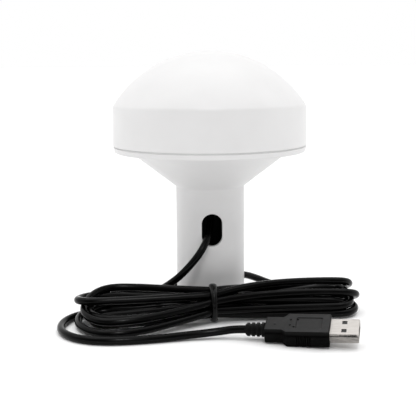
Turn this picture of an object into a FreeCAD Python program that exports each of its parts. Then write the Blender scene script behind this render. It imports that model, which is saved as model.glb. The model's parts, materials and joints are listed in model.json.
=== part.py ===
"""Mushroom-shaped GNSS receiver with a tied hank of USB cord.

Frame: millimetres, +Z up, origin at the centre of the neck's foot. The cable outlet faces -Y.
Run it in FreeCAD 1.1; it writes one STEP file per sub-part into parts/.
"""
import FreeCAD, Part
import math
import os

import Sketcher

Vector = FreeCAD.Vector
Rotation = FreeCAD.Rotation
Placement = FreeCAD.Placement

X_AXIS = Vector(1, 0, 0)
Y_AXIS = Vector(0, 1, 0)
Z_AXIS = Vector(0, 0, 1)

doc = FreeCAD.newDocument("gnss_receiver")


# ---------------------------------------------------------------- driving dimensions

DIMENSIONS = {
    # housing
    "total_height": 126.0,
    "dome_sphere": 56.0,
    "rim_radius": 48.0,
    "shoulder_radius": 47.62,
    "shoulder_round": 4.0,
    "wall": 2.5,
    "seam_height": 80.0,
    "seam_gap": 0.6,
    "seam_inset": 0.7,
    "lip_radius": 47.4,
    "lip_thickness": 2.7,
    "cone_radius": 39.5,
    "neck_radius": 17.1,
    "neck_height": 59.7,
    "spigot_radius": 45.0,
    "spigot_rise": 4.0,
    # neck and its thread (1 inch, 14 threads per inch, the usual antenna mast size)
    "neck_bore": 14.6,
    "liner_radius": 14.5,
    "thread_minor": 11.8,
    "thread_length": 28.0,
    "chamber_radius": 12.9,
    "bulkhead_low": 56.0,
    "bulkhead_thick": 3.0,
    "outlet_width": 10.0,
    "outlet_height": 16.0,
    "outlet_middle": 39.7,
    # cord
    "cord_diameter": 3.6,
    "grommet_hole": 4.2,
    "grommet_flange": 6.0,
    "flange_thick": 1.5,
    # electronics
    "board_radius": 43.0,
    "board_thick": 1.6,
    "board_height": 86.0,
    "post_circle": 40.2,
    "post_radius": 2.8,
    "screw_radius": 1.1,
    "screw_head": 2.3,
    "plane_radius": 36.0,
    "plane_thick": 0.5,
    "tape_thick": 0.8,
    "patch_side": 35.0,
    "patch_thick": 4.0,
    "electrode_side": 30.0,
    "electrode_thick": 0.2,
    "pin_radius": 0.5,
    # USB plug
    "shell_width": 12.0,
    "shell_thick": 4.5,
    "shell_wall": 0.3,
    "shell_out": 12.2,
    "shell_in": 6.0,
    "mould_width": 15.1,
    "mould_thick": 7.4,
    "mould_long": 18.0,
    "mould_taper": 2.9,
    "mould_total": 28.3,
    "heel_width": 10.6,
    "heel_thick": 6.7,
    "relief_length": 8.7,
    "relief_radius": 3.25,
    "relief_core": 2.5,
    # tie round the hank
    "bundle_radius": 6.4,
    "tie_thick": 2.1,
    "tie_width": 2.3,
}

sheet = doc.addObject("Spreadsheet::Sheet", "Sizes")
for row, (alias, value) in enumerate(DIMENSIONS.items(), start=1):
    sheet.set("A%d" % row, alias)
    sheet.set("B%d" % row, str(value))
    sheet.setAlias("B%d" % row, alias)
doc.recompute()


class Size:
    """A number together with the spreadsheet expression that gives it."""

    def __init__(self, value, text):
        self.value = float(value)
        self.text = text

    def __add__(self, other):
        other = as_size(other)
        return Size(self.value + other.value, "(%s + %s)" % (self.text, other.text))

    def __sub__(self, other):
        other = as_size(other)
        return Size(self.value - other.value, "(%s - %s)" % (self.text, other.text))

    def __mul__(self, factor):
        return Size(self.value * factor, "(%s * %r)" % (self.text, float(factor)))

    def __neg__(self):
        return self * -1.0


def as_size(value):
    return value if isinstance(value, Size) else Size(value, repr(float(value)))


def size(alias):
    return Size(getattr(sheet, alias), "Sizes." + alias)


def bind(thing, name, value):
    """Set a property of an object and tie it to the sheet."""
    value = as_size(value)
    setattr(thing, name, value.value)
    if "Sizes." in value.text:
        thing.setExpression(name, value.text)


def place(thing, x=0.0, y=0.0, z=0.0, rotation=None):
    """Put an object at a place whose coordinates are tied to the sheet."""
    spot = [as_size(c) for c in (x, y, z)]
    thing.Placement = Placement(Vector(*[c.value for c in spot]), rotation or Rotation())
    for letter, c in zip("xyz", spot):
        if "Sizes." in c.text:
            thing.setExpression(".Placement.Base." + letter, c.text)
    return thing


# ---------------------------------------------------------------- building blocks

parts = []


def keep(thing, node):
    """List an object as a sub-part; its label names its file."""
    thing.Label = node
    parts.append(thing)
    return thing


def cylinder(name, radius, height, **spot):
    thing = doc.addObject("Part::Cylinder", name)
    bind(thing, "Radius", radius)
    bind(thing, "Height", height)
    return place(thing, **spot)


def box(name, length, width, height, x=0.0, y=0.0, z=0.0):
    """A box centred on x and y, standing on z."""
    thing = doc.addObject("Part::Box", name)
    length, width, height = as_size(length), as_size(width), as_size(height)
    bind(thing, "Length", length)
    bind(thing, "Width", width)
    bind(thing, "Height", height)
    return place(thing, as_size(x) - length * 0.5, as_size(y) - width * 0.5, z)


def cut(name, base, *tools):
    for number, tool in enumerate(tools):
        step = doc.addObject("Part::Cut", name if number == 0 else "%s_%d" % (name, number))
        step.Base = base
        step.Tool = tool
        base = step
    return base


def fuse(name, pieces):
    thing = doc.addObject("Part::MultiFuse", name)
    thing.Shapes = pieces
    return thing


def matching_edges(shape, chosen):
    """Numbers of the edges that a test accepts; poles of spheres have no curve to test."""
    return [i for i, edge in enumerate(shape.Edges, start=1) if not edge.Degenerated and chosen(edge)]


def round_edges(name, base, radius, chosen):
    """Part::Fillet on the edges that the chosen test accepts."""
    doc.recompute()
    thing = doc.addObject("Part::Fillet", name)
    thing.Base = base
    picked = matching_edges(base.Shape, chosen)
    assert picked, name
    thing.Edges = [(i, radius, radius) for i in picked]
    return thing


def new_body(node):
    return keep(doc.addObject("PartDesign::Body", node), node)


def new_sketch(body, name, role, lift=None):
    """A sketch on one of the body's origin planes, lifted along the plane's normal."""
    thing = body.newObject("Sketcher::SketchObject", name)
    base_plane = [f for f in body.Origin.OriginFeatures if f.Role == role][0]
    thing.AttachmentSupport = (base_plane, [""])
    thing.MapMode = "FlatFace"
    if lift is not None:
        lift = as_size(lift)
        thing.AttachmentOffset = Placement(Vector(0, 0, lift.value), Rotation())
        if "Sizes." in lift.text:
            thing.setExpression(".AttachmentOffset.Base.z", lift.text)
    return thing


def fix_point(sketch, geometry, end, point, axes=("DistanceX", "DistanceY")):
    """Pin an end of a sketch line or arc to coordinates from the sheet."""
    for kind, value in zip(("DistanceX", "DistanceY"), point):
        if kind not in axes:
            continue
        value = as_size(value)
        number = sketch.addConstraint(Sketcher.Constraint(kind, geometry, end, value.value))
        if "Sizes." in value.text:
            sketch.setExpression("Constraints[%d]" % number, value.text)


def arc_between(start, end, middle):
    """The shorter arc from start to end, and whether it runs counter-clockwise."""
    first = math.atan2(start.y - middle.y, start.x - middle.x)
    last = math.atan2(end.y - middle.y, end.x - middle.x)
    ccw = (last - first) % (2 * math.pi) <= math.pi
    low, high = (first, last) if ccw else (last, first)
    circle = Part.Circle(middle, Z_AXIS, (start - middle).Length)
    return Part.ArcOfCircle(circle, low, high), ccw


def outline(sketch, points, centres=None):
    """A closed outline; centres maps a side's number to the centre of its arc.

    Each corner is pinned to its coordinates, except that the far end of an arc keeps
    only its x, because the arc's centre and start give the rest.
    """
    centres = centres or {}
    flat = [Vector(as_size(a).value, as_size(b).value, 0) for a, b in points]
    count = len(points)
    ends = []
    for i in range(count):
        start, end = flat[i], flat[(i + 1) % count]
        if i in centres:
            middle = Vector(*[as_size(c).value for c in centres[i]], 0)
            arc, ccw = arc_between(start, end, middle)
            sketch.addGeometry(arc, False)
            ends.append((1, 2) if ccw else (2, 1))
        else:
            sketch.addGeometry(Part.LineSegment(start, end), False)
            ends.append((1, 2))
    for i in range(count):
        after = (i + 1) % count
        joint = Sketcher.Constraint("Coincident", i, ends[i][1], after, ends[after][0])
        sketch.addConstraint(joint)
    for i in range(count):
        axes = ("DistanceX",) if (i - 1) % count in centres else ("DistanceX", "DistanceY")
        fix_point(sketch, i, ends[i][0], points[i], axes)
        if i in centres:
            fix_point(sketch, i, 3, centres[i])


def ring_outline(sketch, centre, radius):
    """A full circle at a fixed centre."""
    spot = Vector(as_size(centre[0]).value, as_size(centre[1]).value, 0)
    geometry = sketch.addGeometry(Part.Circle(spot, Z_AXIS, as_size(radius).value), False)
    fix_point(sketch, geometry, 3, centre)
    radius = as_size(radius)
    number = sketch.addConstraint(Sketcher.Constraint("Radius", geometry, radius.value))
    if "Sizes." in radius.text:
        sketch.setExpression("Constraints[%d]" % number, radius.text)


def revolve(body, name, sketch):
    thing = body.newObject("PartDesign::Revolution", name)
    thing.Profile = sketch
    thing.ReferenceAxis = (sketch, ["V_Axis"])
    thing.Angle = 360
    doc.recompute()
    return thing


def pad(body, name, sketch, length, both_ways=False):
    thing = body.newObject("PartDesign::Pad", name)
    thing.Profile = sketch
    bind(thing, "Length", length)
    thing.Midplane = both_ways
    doc.recompute()
    return thing


def pocket(body, name, sketch, length, reverse):
    """A blind pocket that has to take material away."""
    doc.recompute()
    before = body.Shape.Volume
    thing = body.newObject("PartDesign::Pocket", name)
    thing.Profile = sketch
    bind(thing, "Length", length)
    thing.Reversed = reverse
    doc.recompute()
    assert body.Shape.Volume < before - 0.1, name
    return thing


def body_fillet(body, name, feature, radius, chosen):
    """Round the edges of the body's last feature that the chosen test accepts."""
    doc.recompute()
    names = ["Edge%d" % i for i in matching_edges(feature.Shape, chosen)]
    assert names, name
    thing = body.newObject("PartDesign::Fillet", name)
    thing.Base = (feature, names)
    bind(thing, "Radius", radius)
    doc.recompute()
    return thing


def circle_at(radius, height, slack=0.05):
    """An edge test: a level circle of this radius at this height."""
    def test(edge):
        curve = edge.Curve
        return (isinstance(curve, Part.Circle) and abs(curve.Radius - radius) < slack
                and abs(curve.Center.z - height) < slack)
    return test


# ---------------------------------------------------------------- housing

SEAM_HALF = size("seam_gap") * 0.5
COVER_FOOT = size("seam_height") + SEAM_HALF
BASE_TOP = size("seam_height") - SEAM_HALF
DOME_CENTRE = size("total_height") - size("dome_sphere")
INNER_DROP = 2.2        # how far the cavity's shoulder lies below the outer one


def on_sphere(radius, across):
    """Height of a sphere's surface at this distance from the axis."""
    return DOME_CENTRE.value + math.sqrt(radius ** 2 - across ** 2)


SHOULDER = on_sphere(DIMENSIONS["dome_sphere"], DIMENSIONS["shoulder_radius"])


def radome_cover():
    """One white moulding: dome, rounded shoulder and slightly drafted skirt."""
    body = new_body("radome_cover")
    sketch = new_sketch(body, "cover_profile", "XZ_Plane")
    wall = size("wall")
    inner_height = SHOULDER - INNER_DROP
    inner_sphere = DIMENSIONS["dome_sphere"] - DIMENSIONS["wall"]
    inner_radius = math.sqrt(inner_sphere ** 2 - (inner_height - DOME_CENTRE.value) ** 2)
    points = [
        (0, size("total_height")),
        (size("shoulder_radius"), SHOULDER),
        (size("rim_radius"), COVER_FOOT),
        (size("rim_radius") - wall, COVER_FOOT),
        (inner_radius, inner_height),
        (0, size("total_height") - wall),
    ]
    centre = (0, DOME_CENTRE)
    outline(sketch, points, {0: centre, 4: centre})
    turned = revolve(body, "cover_turned", sketch)
    edge = circle_at(DIMENSIONS["shoulder_radius"], SHOULDER)
    rounded = body_fillet(body, "cover_shoulder", turned, size("shoulder_round"), edge)
    foot = circle_at(DIMENSIONS["rim_radius"], COVER_FOOT.value)
    body_fillet(body, "cover_foot", rounded, 0.4, foot)
    return body


def outlet_sketch(body, name):
    """The upright obround of the cable outlet, on the XZ plane."""
    sketch = new_sketch(body, name, "XZ_Plane")
    half = size("outlet_width") * 0.5
    rise = (size("outlet_height") - size("outlet_width")) * 0.5
    low = size("outlet_middle") - rise
    high = size("outlet_middle") + rise
    points = [(half, low), (half, high), (-half, high), (-half, low)]
    outline(sketch, points, None)
    return sketch


def cut_outlet(body, prefix, depth):
    """Cut the obround through the -Y wall: a rectangle and two round ends."""
    half = size("outlet_width") * 0.5
    rise = (size("outlet_height") - size("outlet_width")) * 0.5
    pocket(body, prefix + "_slot", outlet_sketch(body, prefix + "_slot_sketch"), depth, True)
    for end, height in (("low", size("outlet_middle") - rise), ("high", size("outlet_middle") + rise)):
        sketch = new_sketch(body, "%s_%s_sketch" % (prefix, end), "XZ_Plane")
        ring_outline(sketch, (0, height), half)
        pocket(body, "%s_%s" % (prefix, end), sketch, depth, True)


def base_housing():
    """Flange, underside cone and neck with a bulkhead, moulded in one."""
    body = new_body("base_housing")
    sketch = new_sketch(body, "base_profile", "XZ_Plane")
    bore = size("neck_bore")
    lip_foot = BASE_TOP - size("lip_thickness")
    bulkhead_top = size("bulkhead_low") + size("bulkhead_thick")
    spigot_inner = size("spigot_radius") - 1.4
    floor = BASE_TOP - 0.3
    points = [
        (bore, 0),
        (size("neck_radius"), 0),
        (size("neck_radius"), size("neck_height")),
        (size("cone_radius"), lip_foot),
        (size("lip_radius"), lip_foot),
        (size("rim_radius") - 0.15, BASE_TOP),
        (size("spigot_radius"), BASE_TOP),
        (size("spigot_radius"), BASE_TOP + size("spigot_rise")),
        (spigot_inner, BASE_TOP + size("spigot_rise")),
        (spigot_inner, floor),
        (size("cone_radius") - 0.9, floor),
        (bore, size("neck_height") + 1.2),
        (bore, bulkhead_top),
        (size("grommet_hole"), bulkhead_top),
        (size("grommet_hole"), size("bulkhead_low")),
        (bore, size("bulkhead_low")),
    ]
    outline(sketch, points)
    turned = revolve(body, "base_turned", sketch)
    foot = circle_at(DIMENSIONS["neck_radius"], 0)
    rounded = body_fillet(body, "base_foot", turned, 0.6, foot)
    lip = circle_at(DIMENSIONS["lip_radius"], lip_foot.value)
    body_fillet(body, "base_lip", rounded, 0.8, lip)
    posts = new_sketch(body, "post_sketch", "XY_Plane", floor - 1.0)
    holes = new_sketch(body, "post_hole_sketch", "XY_Plane", size("board_height"))
    for x, y in post_places():
        ring_outline(posts, (x, y), size("post_radius"))
        ring_outline(holes, (x, y), size("screw_radius") + 0.05)
    pad(body, "posts", posts, size("board_height") - floor + 1.0)
    pocket(body, "post_holes", holes, 6.0, False)
    cut_outlet(body, "base_outlet", size("neck_radius") + 1.0)
    return body


def post_places():
    """The four board posts, on a circle, between the axes."""
    ring = size("post_circle")
    return [(ring * math.cos(math.radians(a)), ring * math.sin(math.radians(a)))
            for a in (45, 135, 225, 315)]


def neck_liner():
    """Black sleeve bonded inside the neck: mast thread below, cable chamber above."""
    body = new_body("neck_liner")
    sketch = new_sketch(body, "liner_profile", "XZ_Plane")
    points = [
        (size("thread_minor"), 0),
        (size("liner_radius"), 0),
        (size("liner_radius"), size("bulkhead_low")),
        (size("chamber_radius"), size("bulkhead_low")),
        (size("chamber_radius"), size("thread_length") + 1.0),
        (size("thread_minor"), size("thread_length")),
    ]
    outline(sketch, points)
    revolve(body, "liner_turned", sketch)
    cut_outlet(body, "liner_outlet", size("neck_radius") + 1.0)
    return body


def seam_gasket():
    """Dark flat ring clamped between the cover and the flange."""
    inset = size("seam_inset")
    outer = cylinder("gasket_outer", size("rim_radius") - inset, size("seam_gap"), z=BASE_TOP)
    inner = cylinder("gasket_inner", size("spigot_radius") + 0.2, size("seam_gap"), z=BASE_TOP)
    return keep(cut("seam_gasket_ring", outer, inner), "seam_gasket")


# ---------------------------------------------------------------- cable entry

CORD_RADIUS = size("cord_diameter") * 0.5
EXIT_HEIGHT = size("bulkhead_low") - size("flange_thick")
INNER_CABLE_TOP = 70.0


def cable_grommet():
    """Rubber bush in the bulkhead: a barrel with a flange each side."""
    body = new_body("cable_grommet")
    sketch = new_sketch(body, "grommet_profile", "XZ_Plane")
    low = size("bulkhead_low")
    high = low + size("bulkhead_thick")
    points = [
        (CORD_RADIUS, EXIT_HEIGHT),
        (size("grommet_flange"), EXIT_HEIGHT),
        (size("grommet_flange"), low),
        (size("grommet_hole"), low),
        (size("grommet_hole"), high),
        (size("grommet_flange"), high),
        (size("grommet_flange") - 0.8, high + size("flange_thick")),
        (CORD_RADIUS, high + size("flange_thick")),
    ]
    outline(sketch, points)
    revolve(body, "grommet_turned", sketch)
    return body


def inner_cable():
    """The cord's last stretch, inside the housing, up to where its wires part."""
    rise = as_size(INNER_CABLE_TOP) - EXIT_HEIGHT
    keep(cylinder("inner_cable_round", CORD_RADIUS, rise, z=EXIT_HEIGHT), "inner_cable")
    band_height = 3.0
    band_at = size("bulkhead_low") + size("bulkhead_thick") + size("flange_thick")
    outer = cylinder("stop_outer", CORD_RADIUS + 1.2, band_height, z=band_at)
    hole = cylinder("stop_inner", CORD_RADIUS, band_height, z=band_at)
    head = box("stop_head", 5.0, 3.4, band_height + 0.8, x=CORD_RADIUS + 3.2, z=band_at)
    keep(cut("pull_stop_band", fuse("stop_band", [outer, head]), hole), "pull_stop")


# ---------------------------------------------------------------- electronics

BOARD_LOW = size("board_height")
BOARD_HIGH = BOARD_LOW + size("board_thick")
PLANE_TOP = BOARD_HIGH + size("plane_thick")
TAPE_TOP = PLANE_TOP + size("tape_thick")
PATCH_TOP = TAPE_TOP + size("patch_thick")
PIN_X = 2.5             # the feed pin stands a little off the patch's centre


def pin_hole(name, low, rise):
    return cylinder(name, size("pin_radius") + 0.1, rise, x=PIN_X, z=low)


def main_board():
    disc = cylinder("board_disc", size("board_radius"), size("board_thick"), z=BOARD_LOW)
    holes = [cylinder("board_hole_%d" % i, size("screw_radius") + 0.3, size("board_thick"),
                      x=x, y=y, z=BOARD_LOW) for i, (x, y) in enumerate(post_places(), start=1)]
    holes.append(pin_hole("board_pin_hole", BOARD_LOW, size("board_thick")))
    keep(cut("main_board_disc", disc, *holes), "main_board")


def board_screws():
    """Pan-head screws into the four posts."""
    reach = 5.0
    for i, (x, y) in enumerate(post_places(), start=1):
        shank = cylinder("screw_shank_%d" % i, size("screw_radius"),
                         size("board_thick") + reach, x=x, y=y, z=BOARD_LOW - reach)
        head = cylinder("screw_head_%d" % i, size("screw_head"), 1.5, x=x, y=y, z=BOARD_HIGH)
        slot = cylinder("screw_drive_%d" % i, size("screw_radius"), 0.8, x=x, y=y, z=BOARD_HIGH + 0.8)
        keep(cut("screw_cut_%d" % i, fuse("screw_%d" % i, [shank, head]), slot), "board_screw_%d" % i)


def antenna_stack():
    """Ground plate, adhesive pad, ceramic patch, silver electrode and feed pin."""
    plate = cylinder("plate_disc", size("plane_radius"), size("plane_thick"), z=BOARD_HIGH)
    keep(cut("plate_drilled", plate, pin_hole("plate_hole", BOARD_HIGH, size("plane_thick"))),
         "ground_plate")
    side = size("patch_side")
    tape = box("tape_block", side - 1.0, side - 1.0, size("tape_thick"), z=PLANE_TOP)
    keep(cut("tape_drilled", tape, pin_hole("tape_hole", PLANE_TOP, size("tape_thick"))),
         "antenna_pad")
    block = box("patch_block", side, side, size("patch_thick"), z=TAPE_TOP)
    keep(cut("patch_drilled", block, pin_hole("patch_hole", TAPE_TOP, size("patch_thick"))),
         "antenna_patch")
    metal = box("electrode_block", size("electrode_side"), size("electrode_side"),
                size("electrode_thick"), z=PATCH_TOP)
    hole = pin_hole("electrode_hole", PATCH_TOP, size("electrode_thick"))
    keep(cut("electrode_drilled", metal, hole), "antenna_electrode")
    below = 1.2
    shaft = cylinder("pin_shaft", size("pin_radius"), PATCH_TOP + size("electrode_thick") - BOARD_LOW + below,
                     x=PIN_X, z=BOARD_LOW - below)
    head = cylinder("pin_head", 1.1, 0.5, x=PIN_X, z=PATCH_TOP + size("electrode_thick"))
    keep(fuse("feed_pin_whole", [shaft, head]), "feed_pin")


# node: (length, width, height, x, y), all hanging under the board
CHIPS = {
    "gnss_module": (16.0, 12.2, 2.4, -14.0, 16.0),
    "lna_shield": (9.0, 9.0, 2.0, 12.0, 12.0),
    "usb_chip": (7.0, 7.0, 1.0, 17.0, -8.0),
    "regulator_chip": (6.5, 3.5, 1.6, 20.0, -19.0),
    "memory_chip": (5.3, 4.0, 1.5, -18.0, 0.0),
    "status_lamp": (3.2, 1.6, 1.0, -4.0, -30.0),
    "capacitor_1": (3.2, 1.6, 1.4, 25.0, -2.0),
    "capacitor_2": (3.2, 1.6, 1.4, 25.0, 3.0),
    "capacitor_3": (3.2, 1.6, 1.4, -28.0, 6.0),
    "capacitor_4": (3.2, 1.6, 1.4, -28.0, -6.0),
}


def board_chips():
    for node, (length, width, height, x, y) in CHIPS.items():
        block = box(node + "_block", length, width, height, x=x, y=y, z=BOARD_LOW - height)
        upright = round_edges(node + "_round", block, min(0.5, width / 5),
                              lambda e: abs(e.tangentAt(e.FirstParameter).z) > 0.99)
        keep(upright, node)


def board_crystal():
    """Oval crystal can: two round ends joined by a block."""
    length, width, height, x, y = 6.4, 4.4, 3.4, 4.0, 25.0
    low = BOARD_LOW - height
    ends = [cylinder("crystal_end_%d" % i, width / 2, height, x=x + s * length / 2, y=y, z=low)
            for i, s in enumerate((-1, 1), start=1)]
    middle = box("crystal_middle", length, width, height, x=x, y=y, z=low)
    keep(fuse("crystal_whole", ends + [middle]), "crystal_can")


def backup_cell():
    """Coin cell under a sprung clip that is soldered to the board."""
    x, y, radius, thick, gap = -20.0, -18.0, 6.2, 2.4, 0.8
    keep(cylinder("cell_round", radius, thick, x=x, y=y, z=BOARD_LOW - gap - thick), "backup_cell")
    strap = box("clip_strap", 2 * radius + 3.0, 4.0, 0.4, x=x, y=y, z=BOARD_LOW - gap - thick - 0.4)
    legs = [box("clip_leg_%d" % i, 0.5, 4.0, gap + thick + 0.4, x=x + s * (radius + 1.25), y=y,
                z=BOARD_LOW - gap - thick - 0.4) for i, s in enumerate((-1, 1), start=1)]
    keep(fuse("clip_whole", [strap] + legs), "cell_clip")


HEADER_Y = -14.0
WIRE_PITCH = 2.0


def wire_connector():
    """Header on the board and the crimped plug pushed up into it."""
    width = 4 * WIRE_PITCH + 2.4
    keep(box("header_block", width, 5.4, 3.0, y=HEADER_Y, z=BOARD_LOW - 3.0), "board_header")
    keep(box("wire_plug_block", width - 1.2, 4.6, 4.0, y=HEADER_Y, z=BOARD_LOW - 7.0), "wire_plug")


def round_path(name, points):
    """Straight runs joined by tangent arcs, each as large as its two runs allow."""
    corners = [Vector(*p) for p in points]
    edges = []
    radii = []
    start = corners[0]
    for before, corner, after in zip(corners, corners[1:], corners[2:]):
        back, ahead = (before - corner), (after - corner)
        turn = math.pi - back.getAngle(ahead)
        reach = 0.45 * min(back.Length, ahead.Length)
        radius = reach / math.tan(turn / 2)
        radii.append(radius)
        back.normalize()
        ahead.normalize()
        first, last = corner + back * reach, corner + ahead * reach
        inward = back + ahead
        inward.normalize()
        middle = corner + inward * (math.hypot(radius, reach) - radius)
        edges.append(Part.LineSegment(start, first).toShape())
        edges.append(Part.Arc(first, middle, last).toShape())
        start = last
    edges.append(Part.LineSegment(start, corners[-1]).toShape())
    path = doc.addObject("Part::Feature", name)
    path.Shape = Part.Wire(edges)
    return path, radii


def tube(node, points, diameter, report=False):
    """A round tube along a rounded path; its volume must be section times length."""
    path, radii = round_path(node + "_path", points)
    first, second = Vector(*points[0]), Vector(*points[1])
    ring = doc.addObject("Part::Circle", node + "_ring")
    bind(ring, "Radius", as_size(diameter) * 0.5)
    ring.Placement = Placement(first, Rotation(Z_AXIS, second - first))
    sweep = doc.addObject("Part::Sweep", node + "_sweep")
    sweep.Sections = [ring]
    sweep.Spine = (path, ["Edge%d" % i for i in range(1, len(path.Shape.Edges) + 1)])
    sweep.Solid = True
    sweep.Frenet = False
    doc.recompute()
    expected = math.pi * (as_size(diameter).value / 2) ** 2 * path.Shape.Length
    assert abs(sweep.Shape.Volume / expected - 1) < 0.01, (node, sweep.Shape.Volume, expected)
    if report:
        print("%s: length %.0f mm, radii %s" % (node, path.Shape.Length, " ".join("%.0f" % r for r in radii)))
    return sweep


def cable_wires():
    """Four thin wires from the cable's end up into the crimped plug."""
    for i in range(4):
        across = (i - 1.5) * WIRE_PITCH
        root = (i - 1.5) * 0.8
        plug_foot = BOARD_LOW.value - 7.0
        route = [(root, 0, INNER_CABLE_TOP), (root, 0, INNER_CABLE_TOP + 3.0),
                 (across, HEADER_Y, plug_foot - 3.0), (across, HEADER_Y, plug_foot)]
        keep(tube("wire_%d" % (i + 1), route, 0.7), "cable_wire_%d" % (i + 1))


# ---------------------------------------------------------------- cord route

# From the grommet down the neck, out of the slot, round behind the neck and into the hank.
LEAD_ROUTE = [
    (0.0, 0.0, EXIT_HEIGHT.value),
    (0.0, 0.0, 50.6),
    (-0.1, -1.2, 46.3),
    (-0.3, -4.0, 42.7),
    (-0.7, -8.4, 39.9),
    (-1.5, -14.2, 37.4),
    (-3.2, -19.5, 34.2),
    (-6.6, -22.7, 29.2),
    (-11.4, -23.0, 23.4),
    (-16.6, -21.3, 17.7),
    (-22.2, -17.8, 12.8),
    (-27.4, -11.8, 8.4),
    (-30.0, -3.2, 4.8),
    (-28.6, 6.8, 2.6),
    (-22.6, 16.4, 2.0),
    (-13.0, 23.4, 2.2),
    (-1.6, 25.8, 3.8),
    (9.6, 23.0, 6.8),
    (18.2, 14.8, 9.8),
    (24.0, 5.2, 10.0),
    (29.6, -3.0, 9.2),
    (36.5, -8.0, 8.6),
    (46.0, -9.6, 8.0),
]

# From the hank's left end, round its open loop and along the front to the plug.
TAIL_ROUTE = [
    (-36.0, -25.5, 3.0),
    (-45.0, -23.4, 2.6),
    (-54.6, -22.4, 2.0),
    (-63.6, -26.4, 1.9),
    (-69.8, -35.0, 1.9),
    (-71.6, -46.2, 1.9),
    (-68.2, -57.2, 1.9),
    (-60.0, -65.2, 1.9),
    (-48.6, -68.4, 1.9),
    (-37.0, -67.8, 1.9),
    (-26.0, -66.1, 1.9),
    (-15.6, -64.0, 2.2),
    (-7.0, -62.8, 2.6),
    (0.6, -62.6, 3.3),
    (7.16, -63.16, 4.4),
]


# ---------------------------------------------------------------- hank and its tie

TIE_SPOT = (-0.5, -36.5, 9.1)
TIE_LEAN = -3.0

# the hank's outer shape: x, y and z of each section's middle, half its depth, half its height
HANK_SECTIONS = [
    (-66.4, -36.4, 7.4, 11.0, 4.6),
    (-62.0, -38.0, 7.4, 17.4, 6.8),
    (-54.0, -39.0, 7.5, 21.4, 7.4),
    (-44.0, -39.2, 7.7, 22.4, 7.6),
    (-30.0, -38.5, 7.9, 19.8, 7.6),
    (-16.0, -37.4, 8.5, 13.4, 7.4),
    (-7.0, -36.6, 9.0, 7.8, 6.8),
    (-2.5, -36.5, 9.1, 6.3, 6.3),
    (1.5, -36.5, 9.1, 6.3, 6.3),
    (7.0, -35.2, 9.1, 8.0, 6.9),
    (18.0, -31.2, 9.0, 11.6, 8.2),
    (32.0, -27.2, 9.1, 14.4, 8.7),
    (46.0, -24.4, 9.1, 16.6, 8.9),
    (58.0, -23.4, 9.0, 16.2, 8.8),
    (67.0, -23.4, 8.8, 12.0, 7.2),
    (71.2, -23.4, 8.6, 6.0, 4.4),
]


def cord_hank():
    """The tied hank as one closed solid of its outer shape."""
    rings = []
    for i, (x, y, z, depth, height) in enumerate(HANK_SECTIONS, start=1):
        ring = doc.addObject("Part::Ellipse", "hank_ring_%d" % i)
        ring.MajorRadius = depth
        ring.MinorRadius = height
        ring.Placement = Placement(Vector(x, y, z), Rotation(Y_AXIS, Z_AXIS, X_AXIS, "ZXY"))
        rings.append(ring)
    loft = doc.addObject("Part::Loft", "cord_hank_loft")
    loft.Sections = rings
    loft.Solid = True
    loft.Ruled = False
    return keep(loft, "cord_hank")


def hank_tie():
    """Rounded band round the hank's waist."""
    inner, width = size("bundle_radius"), size("tie_width")
    spot = Vector(*TIE_SPOT)
    lean = Rotation(Y_AXIS, TIE_LEAN)
    outer = cylinder("tie_outer", inner + size("tie_thick"), width)
    hole = cylinder("tie_inner", inner, width)
    band = round_edges("tie_band", cut("tie_cut", outer, hole), 0.9,
                       lambda e: e.Curve.Radius > DIMENSIONS["bundle_radius"] + 1
                       if isinstance(e.Curve, Part.Circle) else False)
    upright = Rotation(Y_AXIS, 90)
    turn = lean.multiply(upright)
    half = turn.multVec(Vector(0, 0, width.value / 2))
    band.Placement = Placement(spot - half, turn)
    return keep(band, "hank_tie")


# ---------------------------------------------------------------- USB plug

PLUG_SPOT = (47.4, -75.0, 6.45)     # middle of the moulding's front face
PLUG_YAW, PLUG_NOSE_UP, PLUG_ROLL = -16.4, 2.8, 16.6


def plug_placement():
    turn = Rotation(Z_AXIS, PLUG_YAW)
    turn = turn.multiply(Rotation(Y_AXIS, -PLUG_NOSE_UP))
    turn = turn.multiply(Rotation(X_AXIS, PLUG_ROLL))
    return Placement(Vector(*PLUG_SPOT), turn)


def lay_plug_piece(thing):
    """Move a piece from the plug's own axes (nose along +X) to where the plug lies."""
    thing.Placement = plug_placement().multiply(thing.Placement)
    return thing


def flat_outline(body, name, points, thick):
    sketch = new_sketch(body, name + "_sketch", "XY_Plane")
    outline(sketch, points)
    return pad(body, name, sketch, thick, both_ways=True)


def plug_body():
    """Overmoulding: a wide grip that tapers to a narrow heel."""
    body = new_body("plug_body")
    wide = size("mould_width") * 0.5
    narrow = size("heel_width") * 0.5
    taper_start = -size("mould_long")
    taper_end = taper_start - size("mould_taper")
    grip = [(0, -wide), (0, wide), (taper_start, wide), (taper_end, narrow),
            (taper_end, -narrow), (taper_start, -wide)]
    first = flat_outline(body, "grip", grip, size("mould_thick"))
    body_fillet(body, "grip_round", first, 0.7, lambda e: e.Length > 2.0)
    rear = -size("mould_total")
    heel = [(taper_end + 2.0, -narrow), (taper_end + 2.0, narrow), (rear, narrow), (rear, -narrow)]
    flat_outline(body, "heel", heel, size("heel_thick"))
    seat = new_sketch(body, "seat_sketch", "YZ_Plane")
    half_w, half_t = size("shell_width") * 0.5, size("shell_thick") * 0.5
    outline(seat, [(-half_w, -half_t), (half_w, -half_t), (half_w, half_t), (-half_w, half_t)])
    pocket(body, "seat", seat, size("shell_in"), False)
    return lay_plug_piece(body)


def centred_box(name, low, high, width, thick, y=0.0, z=0.0):
    """A box from low to high along X, centred on y and z."""
    low, high = as_size(low), as_size(high)
    thick = as_size(thick)
    return box(name, high - low, width, thick, x=(low + high) * 0.5, y=y, z=as_size(z) - thick * 0.5)


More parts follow.
